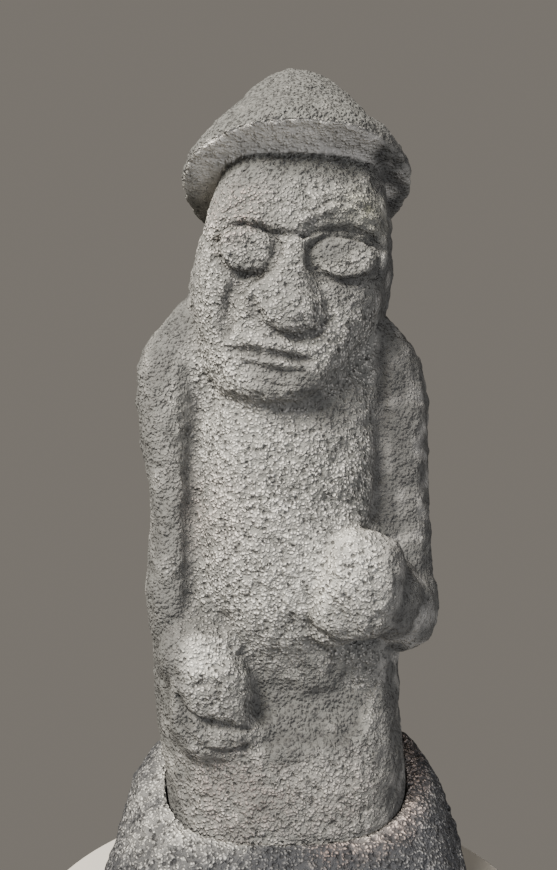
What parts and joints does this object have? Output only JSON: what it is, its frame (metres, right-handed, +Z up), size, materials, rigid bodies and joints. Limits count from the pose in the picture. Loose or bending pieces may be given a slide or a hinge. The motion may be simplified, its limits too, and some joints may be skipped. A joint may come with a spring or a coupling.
{
  "type": "stone guardian statue",
  "caption": "Tall hewn stone guardian figure with a brimmed hat, bulging eyes and hands on its belly, standing in the socket of a mound-shaped base stone.",
  "frame": {"origin": "on the flat underside of the base stone, under the figure's axis", "axes": "+Z up to the top of the hat, -Y the way the figure faces, +X to the right as seen from the front"},
  "size_m": [0.9631, 0.8275, 2.234],
  "materials": {
    "figure_basalt": "rough hewn, vesicular, weathered",
    "base_basalt": "rough hewn, vesicular, weathered"
  },
  "bodies": {
    "root": {"figure": "figure_basalt", "base_stone": "base_basalt"}
  },
  "joints": []
}
